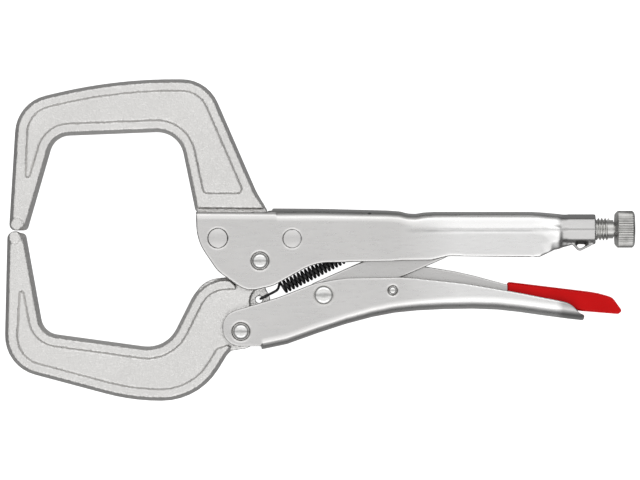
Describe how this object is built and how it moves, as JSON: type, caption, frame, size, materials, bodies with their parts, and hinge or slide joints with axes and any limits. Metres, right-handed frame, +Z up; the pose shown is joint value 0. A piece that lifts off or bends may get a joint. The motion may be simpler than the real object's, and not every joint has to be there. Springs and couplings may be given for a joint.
{
  "type": "locking c clamp",
  "caption": "Hand clamp with forged C-shaped jaws, an over-centre toggle, an adjusting screw in the end of one folded handle and a release lever in the other.",
  "frame": {"origin": "on the surface that the clamp lies on, below the middle of its outside box", "axes": "the clamp lies on its flank: +X runs along the handles to the adjusting knob, +Y from the moving jaw to the fixed jaw, +Z up, across the clamp"},
  "size_m": [0.2812, 0.1436, 0.0194],
  "materials": {
    "nickel_sheet": "satin nickel plate on pressed sheet",
    "nickel_forging": "satin nickel plate on a forged skin",
    "bright_rivet": "bright",
    "screw_steel": "satin zinc plate",
    "black_wire": "black oiled spring wire",
    "red_plastic": "satin dipped plastic"
  },
  "bodies": {
    "clamp_frame": {"fixed_handle": "nickel_sheet", "fixed_jaw": "nickel_forging", "jaw_rivet_front": "nickel_sheet", "jaw_rivet_rear": "nickel_sheet", "jaw_pivot_rivet": "bright_rivet", "tension_spring": "black_wire"},
    "jaw": {"moving_jaw": "nickel_forging"},
    "handle": {"moving_handle": "nickel_sheet", "handle_pivot_rivet": "bright_rivet", "link_pivot_rivet": "bright_rivet", "release_lever_rivet": "bright_rivet"},
    "link": {"toggle_link": "nickel_sheet"},
    "lever": {"release_lever": "nickel_sheet", "release_lever_grip": "red_plastic"},
    "screw": {"adjusting_screw": "screw_steel"},
    "knob": {"adjusting_knob": "screw_steel"}
  },
  "joints": [
    {"name": "jaw_pivot", "type": "hinge", "parent": "clamp_frame", "child": "jaw", "pos_m": [-0.02676, -0.0093, 0.0097], "axis": [0, 0, 1], "range_deg": [0, 24], "deforming": ["tension_spring"]},
    {"name": "handle_pivot", "type": "hinge", "parent": "jaw", "child": "handle", "pos_m": [-0.03526, -0.0408, 0.0097], "axis": [0, 0, 1], "range_deg": [-61.2, 0]},
    {"name": "link_pivot", "type": "hinge", "parent": "handle", "child": "link", "pos_m": [0.00162, -0.02456, 0.0097], "axis": [0, 0, 1], "range_deg": [0, 63.6]},
    {"name": "release_lever_pivot", "type": "hinge", "parent": "handle", "child": "lever", "pos_m": [0.03242, -0.02246, 0.0097], "axis": [0, 0, 1], "range_deg": [0, 8]},
    {"name": "screw_feed", "type": "slide", "parent": "clamp_frame", "child": "screw", "axis": [1, 0, 0], "range_m": [0, 0.027]},
    {"name": "knob_turn", "type": "hinge", "parent": "screw", "child": "knob", "pos_m": [0.13324, 0.0048, 0.0097], "axis": [1, 0, 0], "range_deg": [0, 6480]}
  ],
  "couplings": [
    {"joint": "handle_pivot", "follows": "jaw_pivot", "ratio": -2.55},
    {"joint": "link_pivot", "follows": "jaw_pivot", "ratio": 2.65},
    {"joint": "knob_turn", "follows": "screw_feed", "rad_per_m": 4188.8}
  ]
}
